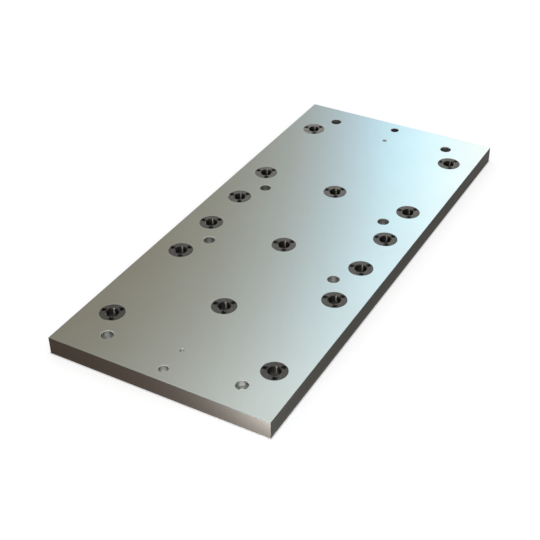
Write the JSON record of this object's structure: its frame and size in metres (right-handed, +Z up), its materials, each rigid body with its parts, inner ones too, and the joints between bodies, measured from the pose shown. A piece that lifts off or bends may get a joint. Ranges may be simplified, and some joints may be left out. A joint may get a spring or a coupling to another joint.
{
  "type": "machine subplate",
  "caption": "Flat rectangular machine subplate with flush flanged receiver bushings held by screws, and counterbored holes that bolt it to a slotted table.",
  "frame": {"origin": "middle of the plate's underside", "axes": "+X along the plate's length, +Y across it, +Z up out of the working face"},
  "size_m": [0.9144, 0.4064, 0.0318],
  "materials": {
    "plate_aluminium": "fine milled flat face, sides saw-smooth and a little duller",
    "bushing_black_steel": "hardened and ground, black oxide",
    "screw_black_steel": "black oxide"
  },
  "bodies": {
    "root": {"subplate_body": "plate_aluminium", "receiver_bushing_rear_1": "bushing_black_steel", "receiver_bushing_rear_2": "bushing_black_steel", "receiver_bushing_rear_3": "bushing_black_steel", "receiver_bushing_rear_4": "bushing_black_steel", "receiver_bushing_rear_5": "bushing_black_steel", "receiver_bushing_rear_6": "bushing_black_steel", "receiver_bushing_middle_1": "bushing_black_steel", "receiver_bushing_middle_2": "bushing_black_steel", "receiver_bushing_middle_3": "bushing_black_steel", "receiver_bushing_front_1": "bushing_black_steel", "receiver_bushing_front_2": "bushing_black_steel", "receiver_bushing_front_3": "bushing_black_steel", "receiver_bushing_front_4": "bushing_black_steel", "receiver_bushing_front_5": "bushing_black_steel", "receiver_bushing_front_6": "bushing_black_steel", "bushing_screws_rear_1": "screw_black_steel", "bushing_screws_rear_2": "screw_black_steel", "bushing_screws_rear_3": "screw_black_steel", "bushing_screws_rear_4": "screw_black_steel", "bushing_screws_rear_5": "screw_black_steel", "bushing_screws_rear_6": "screw_black_steel", "bushing_screws_middle_1": "screw_black_steel", "bushing_screws_middle_2": "screw_black_steel", "bushing_screws_middle_3": "screw_black_steel", "bushing_screws_front_1": "screw_black_steel", "bushing_screws_front_2": "screw_black_steel", "bushing_screws_front_3": "screw_black_steel", "bushing_screws_front_4": "screw_black_steel", "bushing_screws_front_5": "screw_black_steel", "bushing_screws_front_6": "screw_black_steel"}
  },
  "joints": []
}
